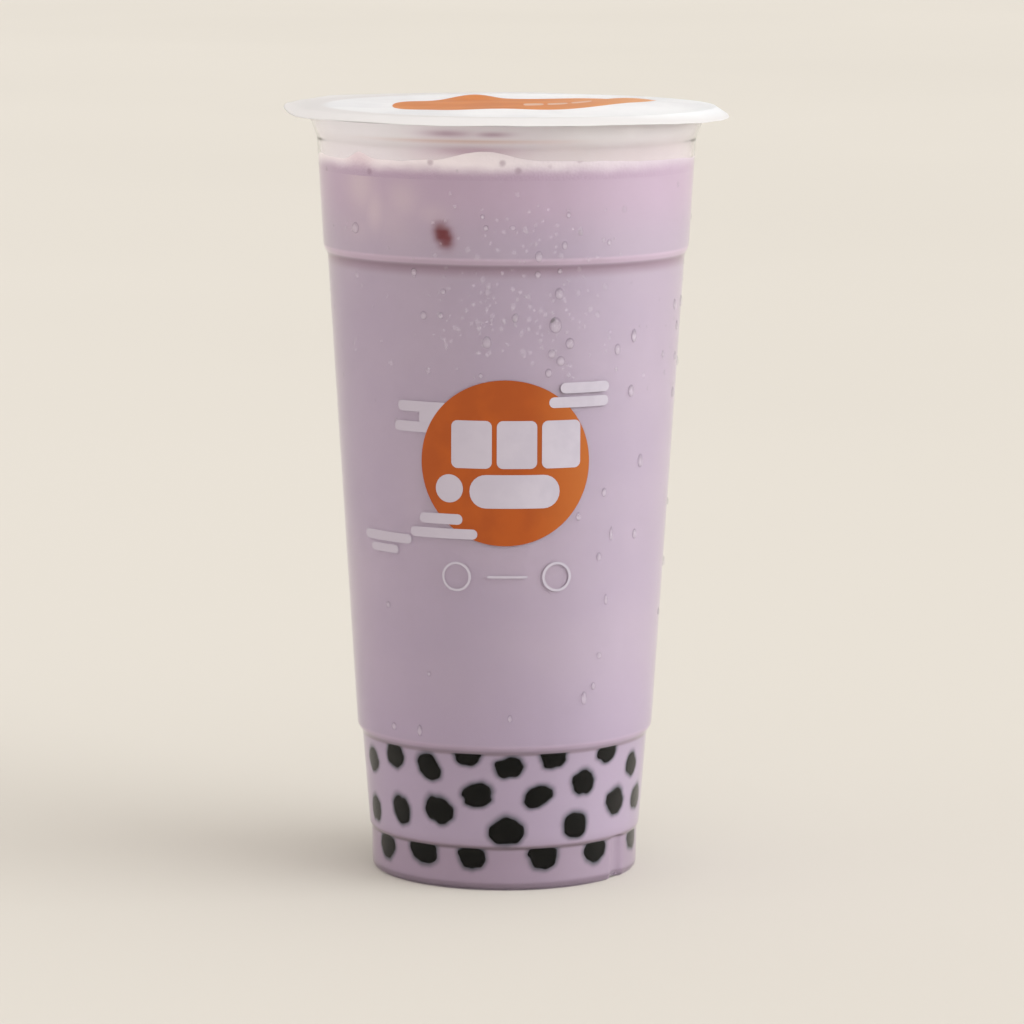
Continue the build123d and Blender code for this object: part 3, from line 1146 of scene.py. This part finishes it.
def bead_shade(share, angle):
    """How light a bead looks: dark round its edge, bright low inside it and at a glint near its top."""
    if share == 1:
        return 0.0
    if share == 0.5 and abs(angle - bead_glint_angle) < 0.3:
        return 1.0
    return bead_middle - bead_contrast * share * math.sin(angle)


def add_drop(verts, faces, shades, degrees, height, width, length, rings=4, segments=14):
    """A bead of water on the wall, fuller and rounder below than above."""
    faces += shifted(disc_faces(rings, segments), len(verts))
    middle = math.radians(degrees) * radius_at(wall_corners, height)
    bulge = width * drop_fullness
    verts.append(on_wall(middle, height, bulge))
    shades.append(bead_middle)
    for ring in range(1, rings + 1):
        share = ring / rings
        for i in range(segments):
            angle = TURN * i / segments
            narrow = 1 - drop_narrowing * max(0, math.sin(angle)) * (length / width - 1)
            across = middle + share * width / 2 * math.cos(angle) * narrow
            up = height + share * length / 2 * math.sin(angle)
            lift = bulge * math.sqrt(1 - share**2) * (1 - drop_sag * share * math.sin(angle))
            verts.append(on_wall(across, up, lift - drop_sink * share**4))
            shades.append(bead_shade(share, angle))
    verts.append(on_wall(middle, height, -drop_sink))
    shades.append(1.0)
    faces += closing_faces(len(verts) - 1, segments)


verts, faces, shades = [], [], []
for drop in large_drops:
    add_drop(verts, faces, shades, *drop)
for _ in range(side_drops):
    bearing = dice.uniform(60, 265)
    height = dice.triangular(0.040, 0.160, 0.130)
    width = dice.uniform(0.0010, 0.0024)
    # No drop lies across a step.
    if min(abs(height - step_height) for _, step_height in wall_corners) < 1.2 * width:
        continue
    add_drop(verts, faces, shades, bearing, height, width, width * dice.uniform(1.05, 1.6))
drop_mesh = new_mesh("water_drops", verts, faces)
paint(drop_mesh, "light", np.array(shades)[:, None])

water_material, tree, shader = new_material("water", Roughness=0.08, Alpha=0.15, Specular_IOR_Level=0.8)
light = painted(tree, "light")["Red"]
tint = mixed(tree, ramp(tree, light, 0, bead_middle), srgb(96, 80, 96), srgb(228, 215, 228))
tint = mixed(tree, ramp(tree, light, bead_middle, 0.8), tint, srgb(255, 252, 255))
colour_with(tree, shader, tint)
add_piece("water_drops", drop_mesh, water_material, "water")

# Clouds of mist: bearing, height, spread, and how many beads. The print stays dry.
mist_clouds = [
    (-8, 0.1325, 8, 0.0055, 70),
    (14, 0.1290, 10, 0.0085, 55),
    (8, 0.1500, 14, 0.0045, 40),
    (0, 0.1300, 40, 0.0160, 110),
    (160, 0.1300, 50, 0.0180, 180),
]
mist_least, mist_spread = 0.0006, 0.0009
dry_top, dry_bearing = 0.1175, 34
verts, faces = [], []
for middle, level, spread, rise, count in mist_clouds:
    for _ in range(count):
        bearing, height = dice.gauss(middle, spread), dice.gauss(level, rise)
        width = mist_least + mist_spread * dice.random() ** 3
        if height > foam_level or height < dry_top and abs(bearing) < dry_bearing:
            continue
        add_drop(verts, faces, shades, bearing, height, width, width * dice.uniform(1, 1.25), 2, 10)
mist_mesh = new_mesh("water_mist", verts, faces)
mist_colour = srgb(252, 246, 252)
mist_material, _, _ = new_material("mist", Roughness=0.3, Alpha=0.05, Base_Color=mist_colour)
add_piece("water_mist", mist_mesh, mist_material, "water")
